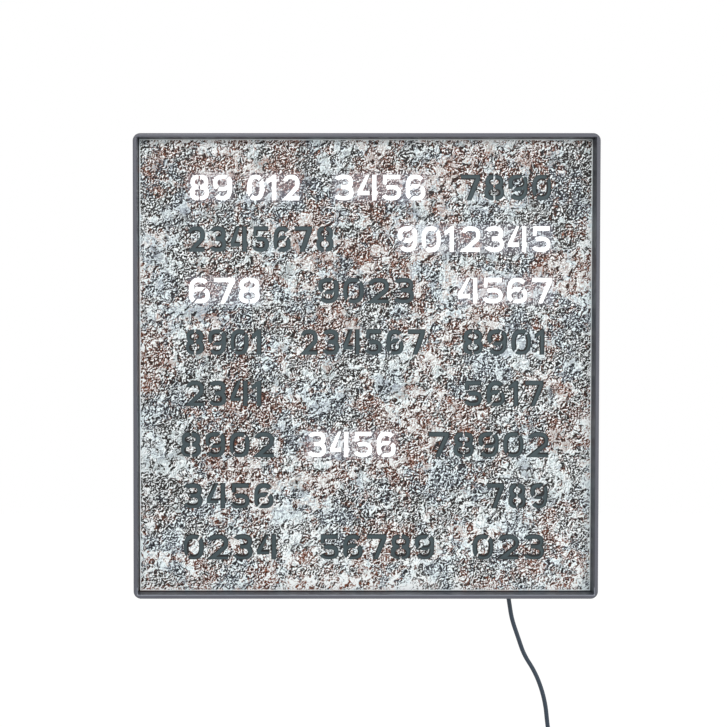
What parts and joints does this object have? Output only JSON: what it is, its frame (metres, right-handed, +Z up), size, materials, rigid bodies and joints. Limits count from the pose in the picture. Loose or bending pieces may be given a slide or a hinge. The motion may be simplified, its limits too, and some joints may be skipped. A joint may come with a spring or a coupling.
{
  "type": "wall clock",
  "caption": "Square wall clock with lit characters cut in a stone-print face, a rear cover with keyholes, and a cord to a plug-in adapter.",
  "frame": {"origin": "on the wall, midway between the two hanging screws", "axes": "+Z up; +Y into the wall, so the clock faces -Y; +X to the right as the clock is read"},
  "size_m": [0.4, 0.0502, 0.706],
  "materials": {
    "frame_plastic": "satin moulded",
    "face_print": "printed like weathered stone",
    "diffuser_sheet": "smoked, translucent",
    "black_plastic": "fine texture",
    "circuit_board": "solder mask",
    "lamp": "clear and yellow",
    "screw_steel": "plated",
    "bright_metal": "plated",
    "bumper_rubber": "matt",
    "button_plastic": "satin",
    "component_plastic": "moulded",
    "ribbon_sheath": "soft",
    "cord_sheath": "soft sheath",
    "adapter_plastic": "fine texture"
  },
  "bodies": {
    "clock": {"adapter_back": "adapter_plastic", "adapter_front": "adapter_plastic", "adapter_pins": "bright_metal", "adapter_relief": "cord_sheath", "backup_cell": "bright_metal", "bezel_frame": "frame_plastic", "board_screws": "screw_steel", "capacitor": "bright_metal", "cell_holder": "component_plastic", "clock_crystal": "bright_metal", "coil_tie": "cord_sheath", "control_board": "circuit_board", "controller_chip": "component_plastic", "cord_coil": "cord_sheath", "cord_tail": "cord_sheath", "cord_upper": "cord_sheath", "diffuser": "diffuser_sheet", "face_plate": "face_print", "lamp_strip_1": "circuit_board", "lamp_strip_2": "circuit_board", "lamp_strip_3": "circuit_board", "lamp_strip_4": "circuit_board", "lamp_strip_5": "circuit_board", "lamp_strip_6": "circuit_board", "lamp_strip_7": "circuit_board", "lamp_strip_8": "circuit_board", "leds_1": "lamp", "leds_2": "lamp", "leds_3": "lamp", "leds_4": "lamp", "leds_5": "lamp", "leds_6": "lamp", "leds_7": "lamp", "leds_8": "lamp", "light_box": "black_plastic", "pin_sleeves": "adapter_plastic", "plug_barrel": "bright_metal", "power_plug": "cord_sheath", "power_socket": "component_plastic", "rear_cover": "black_plastic", "rear_screws": "screw_steel", "ribbon_cable": "ribbon_sheath", "ribbon_header": "component_plastic", "strip_screws": "screw_steel", "tact_switches": "component_plastic", "wall_bumpers": "bumper_rubber"},
    "hour_button": {"hour_button": "button_plastic", "hour_plunger": "component_plastic"},
    "minute_button": {"minute_button": "button_plastic", "minute_plunger": "component_plastic"},
    "brightness_button": {"brightness_button": "button_plastic", "brightness_plunger": "component_plastic"},
    "cell_door": {"cell_door": "black_plastic"}
  },
  "joints": [
    {"name": "hour_press", "type": "slide", "parent": "clock", "child": "hour_button", "axis": [0, -1, 0], "range_m": [0, 0.0006], "stiffness_N_per_m": 150},
    {"name": "minute_press", "type": "slide", "parent": "clock", "child": "minute_button", "axis": [0, -1, 0], "range_m": [0, 0.0006], "stiffness_N_per_m": 150},
    {"name": "brightness_press", "type": "slide", "parent": "clock", "child": "brightness_button", "axis": [0, -1, 0], "range_m": [0, 0.0006], "stiffness_N_per_m": 150},
    {"name": "cell_door_lift", "type": "slide", "parent": "clock", "child": "cell_door", "axis": [0, 1, 0], "range_m": [0, 0.03]}
  ]
}
